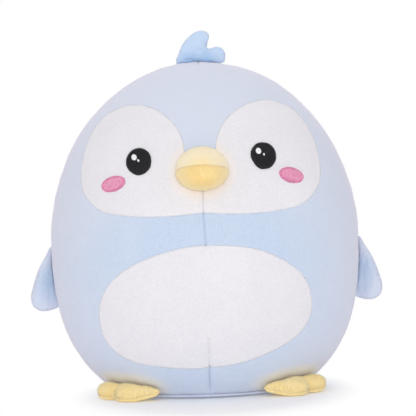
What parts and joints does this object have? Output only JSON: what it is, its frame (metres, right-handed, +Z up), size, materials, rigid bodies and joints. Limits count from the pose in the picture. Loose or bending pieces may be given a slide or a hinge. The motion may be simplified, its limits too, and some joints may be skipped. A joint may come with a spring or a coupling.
{
  "type": "plush penguin",
  "caption": "Round stuffed plush penguin with a white face and belly, padded beak, embroidered eyes and cheeks, and a tuft, wings and feet that flex at their seams.",
  "frame": {"origin": "on the flat base, under the middle of the body", "axes": "+Z up, the toy faces -Y, +X is the toy's own left"},
  "size_m": [0.2938, 0.2275, 0.2968],
  "materials": {
    "blue_plush": "short pile, matt with a pale sheen at the edges",
    "base_fabric": "short pile, pressed flat",
    "white_plush": "short pile, matt",
    "pale_yellow_plush": "short pile, matt",
    "yellow_plush": "short pile, matt",
    "foot_plush": "fluffy pile, matt",
    "black_thread": "satin stitch embroidery",
    "white_thread": "satin stitch embroidery",
    "pink_thread": "satin stitch embroidery",
    "tuft_plush": "short pile, matt",
    "wing_plush": "short pile, matt",
    "stuffing": "loose polyester fibre"
  },
  "bodies": {
    "torso": {"front_panel": "blue_plush", "back_panel_left": "blue_plush", "back_panel_right": "blue_plush", "base_panel": "base_fabric", "body_filling": "stuffing", "face_patch_left": "white_plush", "face_patch_right": "white_plush", "belly_patch": "white_plush", "beak_upper": "pale_yellow_plush", "beak_lower": "yellow_plush", "beak_filling": "stuffing", "eye_left": "black_thread", "eye_right": "black_thread", "eye_highlights_left": "white_thread", "eye_highlights_right": "white_thread", "cheek_left": "pink_thread", "cheek_right": "pink_thread"},
    "tuft": {"tuft_front": "tuft_plush", "tuft_back": "tuft_plush", "tuft_filling": "stuffing"},
    "wing_left": {"wing_front_left": "wing_plush", "wing_back_left": "wing_plush", "wing_filling_left": "stuffing"},
    "foot_left": {"foot_top_left": "foot_plush", "foot_sole_left": "foot_plush", "foot_filling_left": "stuffing"},
    "wing_right": {"wing_front_right": "wing_plush", "wing_back_right": "wing_plush", "wing_filling_right": "stuffing"},
    "foot_right": {"foot_top_right": "foot_plush", "foot_sole_right": "foot_plush", "foot_filling_right": "stuffing"}
  },
  "joints": [
    {"name": "tuft_bend", "type": "hinge", "parent": "torso", "child": "tuft", "pos_m": [0, 0, 0.2711], "axis": [1, 0, 0], "range_deg": [-35, 35], "stiffness_Nm_per_rad": 0.01},
    {"name": "wing_swing_left", "type": "hinge", "parent": "torso", "child": "wing_left", "pos_m": [0.1279, 0, 0.1], "axis": [0, 0, 1], "range_deg": [-60, 60], "stiffness_Nm_per_rad": 0.004},
    {"name": "wing_swing_right", "type": "hinge", "parent": "torso", "child": "wing_right", "pos_m": [-0.1279, 0, 0.1], "axis": [0, 0, 1], "range_deg": [-60, 60], "stiffness_Nm_per_rad": 0.004},
    {"name": "foot_lift_left", "type": "hinge", "parent": "torso", "child": "foot_left", "pos_m": [0.0568, -0.04682, 0.0015], "axis": [-0.7771, -0.6293, 0], "range_deg": [0, 7], "stiffness_Nm_per_rad": 0.02},
    {"name": "foot_lift_right", "type": "hinge", "parent": "torso", "child": "foot_right", "pos_m": [-0.0568, -0.04682, 0.0015], "axis": [-0.7771, 0.6293, 0], "range_deg": [0, 7], "stiffness_Nm_per_rad": 0.02}
  ]
}
